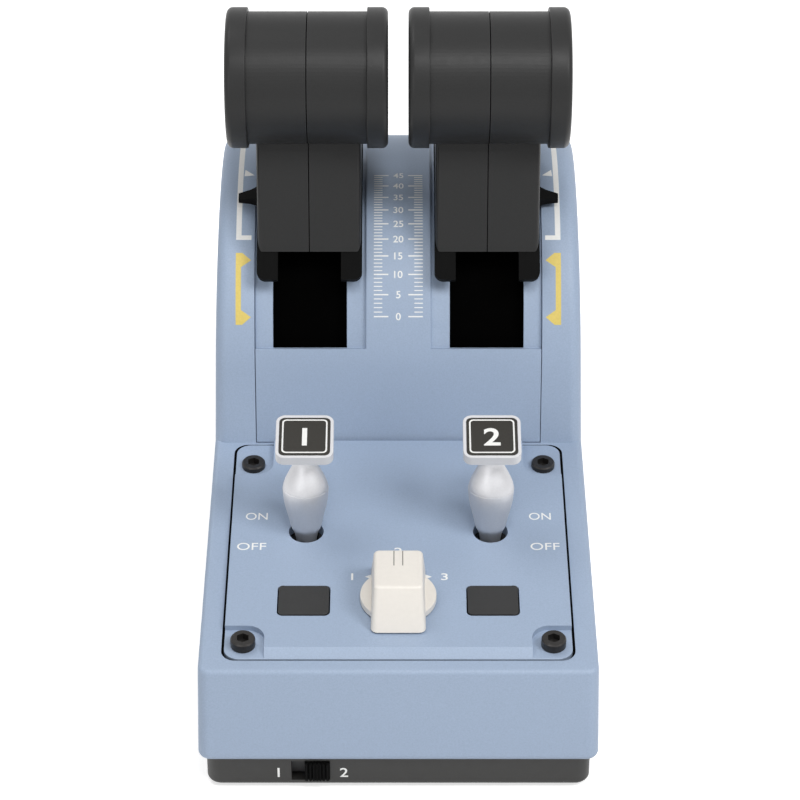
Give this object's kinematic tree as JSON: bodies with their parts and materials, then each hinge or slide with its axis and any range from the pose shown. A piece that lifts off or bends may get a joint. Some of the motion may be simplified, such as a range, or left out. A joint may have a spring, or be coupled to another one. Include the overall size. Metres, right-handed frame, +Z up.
{
  "type": "twin throttle quadrant",
  "caption": "Desk throttle quadrant for flight simulators with barrel-grip throttle levers, master toggles, a mode knob and push buttons.",
  "frame": {"origin": "middle of the footprint, at the soles of the rubber feet", "axes": "+Z up, +X to the right hand of the user, +Y away from the user"},
  "size_m": [0.1366, 0.2407, 0.2133],
  "materials": {
    "housing_blue": "fine speckled satin",
    "black_plastic": "fine texture",
    "grip_black": "satin",
    "red_plastic": "satin",
    "satin_steel": "satin turned",
    "white_plastic": "satin",
    "label_dark": "satin",
    "bush_plastic": "natural",
    "magnet": "ground",
    "zinc_steel": "zinc plated",
    "black_steel": "black oxide",
    "rubber": "matte",
    "board_green": "solder mask",
    "switch_black": "moulded",
    "knob_cream": "satin"
  },
  "bodies": {
    "base": {"arch_cover": "housing_blue", "axle_clips": "zinc_steel", "axle_sleeves": "bush_plastic", "base_screws": "zinc_steel", "base_tray": "black_plastic", "board_screws": "zinc_steel", "bracket_centre": "zinc_steel", "bracket_left": "zinc_steel", "bracket_right": "zinc_steel", "control_plate": "housing_blue", "detent_sectors": "zinc_steel", "friction_washers": "bush_plastic", "housing_shell": "housing_blue", "main_board": "board_green", "panel_board": "board_green", "pivot_axle": "zinc_steel", "plate_screws": "black_steel", "rotary_switch": "switch_black", "rubber_feet": "rubber", "sensor_boards": "board_green", "slide_switch": "switch_black", "spring_washers": "zinc_steel", "tact_switches": "switch_black", "toggle_switches": "switch_black", "usb_socket": "zinc_steel"},
    "throttle_left": {"lever_arm_left": "black_plastic", "arm_bush_left": "bush_plastic", "magnet_ring_left": "magnet", "detent_roller_left": "satin_steel", "grip_inner_left": "grip_black", "grip_outer_left": "grip_black", "end_cap_inner_left": "grip_black", "end_cap_outer_left": "grip_black", "slot_skirt_left": "black_plastic", "reverser_pin_left": "satin_steel"},
    "reverser_left": {"reverser_left": "grip_black"},
    "disconnect_left": {"disconnect_button_left": "red_plastic"},
    "master_left": {"toggle_stem_left": "satin_steel", "toggle_cap_left": "white_plastic", "toggle_label_left": "label_dark"},
    "push_left": {"push_button_left": "black_plastic"},
    "throttle_right": {"lever_arm_right": "black_plastic", "arm_bush_right": "bush_plastic", "magnet_ring_right": "magnet", "detent_roller_right": "satin_steel", "grip_inner_right": "grip_black", "grip_outer_right": "grip_black", "end_cap_inner_right": "grip_black", "end_cap_outer_right": "grip_black", "slot_skirt_right": "black_plastic", "reverser_pin_right": "satin_steel"},
    "reverser_right": {"reverser_right": "grip_black"},
    "disconnect_right": {"disconnect_button_right": "red_plastic"},
    "master_right": {"toggle_stem_right": "satin_steel", "toggle_cap_right": "white_plastic", "toggle_label_right": "label_dark"},
    "push_right": {"push_button_right": "black_plastic"},
    "mode": {"mode_knob": "knob_cream"},
    "slider": {"slide_knob": "black_plastic"}
  },
  "joints": [
    {"name": "throttle_left_turn", "type": "hinge", "parent": "base", "child": "throttle_left", "pos_m": [-0.0321, 0.0794, 0.0715], "axis": [-1, 0, 0], "range_deg": [-42, 31]},
    {"name": "reverser_left_lift", "type": "hinge", "parent": "throttle_left", "child": "reverser_left", "pos_m": [-0.0321, 0.0665, 0.157], "axis": [1, 0, 0], "range_deg": [0, 30], "stiffness_Nm_per_rad": 0.05},
    {"name": "disconnect_left_press", "type": "slide", "parent": "throttle_left", "child": "disconnect_left", "axis": [1, 0, 0], "range_m": [0, 0.0015], "stiffness_N_per_m": 400},
    {"name": "master_left_tip", "type": "hinge", "parent": "base", "child": "master_left", "pos_m": [-0.0325, -0.04563, 0.04943], "axis": [1, 0, 0], "range_deg": [0, 15]},
    {"name": "push_left_press", "type": "slide", "parent": "base", "child": "push_left", "axis": [0, 0.0624, -0.998], "range_m": [0, 0.0012], "stiffness_N_per_m": 400},
    {"name": "throttle_right_turn", "type": "hinge", "parent": "base", "child": "throttle_right", "pos_m": [0.0321, 0.0794, 0.0715], "axis": [-1, 0, 0], "range_deg": [-42, 31]},
    {"name": "reverser_right_lift", "type": "hinge", "parent": "throttle_right", "child": "reverser_right", "pos_m": [0.0321, 0.0665, 0.157], "axis": [1, 0, 0], "range_deg": [0, 30], "stiffness_Nm_per_rad": 0.05},
    {"name": "disconnect_right_press", "type": "slide", "parent": "throttle_right", "child": "disconnect_right", "axis": [-1, 0, 0], "range_m": [0, 0.0015], "stiffness_N_per_m": 400},
    {"name": "master_right_tip", "type": "hinge", "parent": "base", "child": "master_right", "pos_m": [0.0325, -0.04563, 0.04943], "axis": [1, 0, 0], "range_deg": [0, 15]},
    {"name": "push_right_press", "type": "slide", "parent": "base", "child": "push_right", "axis": [0, 0.0624, -0.998], "range_m": [0, 0.0012], "stiffness_N_per_m": 400},
    {"name": "mode_turn", "type": "hinge", "parent": "base", "child": "mode", "pos_m": [0, -0.08284, 0.05492], "axis": [0, -0.0624, 0.998], "range_deg": [-60, 60]},
    {"name": "slider_slide", "type": "slide", "parent": "base", "child": "slider", "axis": [-1, 0, 0], "range_m": [0, 0.0045]}
  ]
}
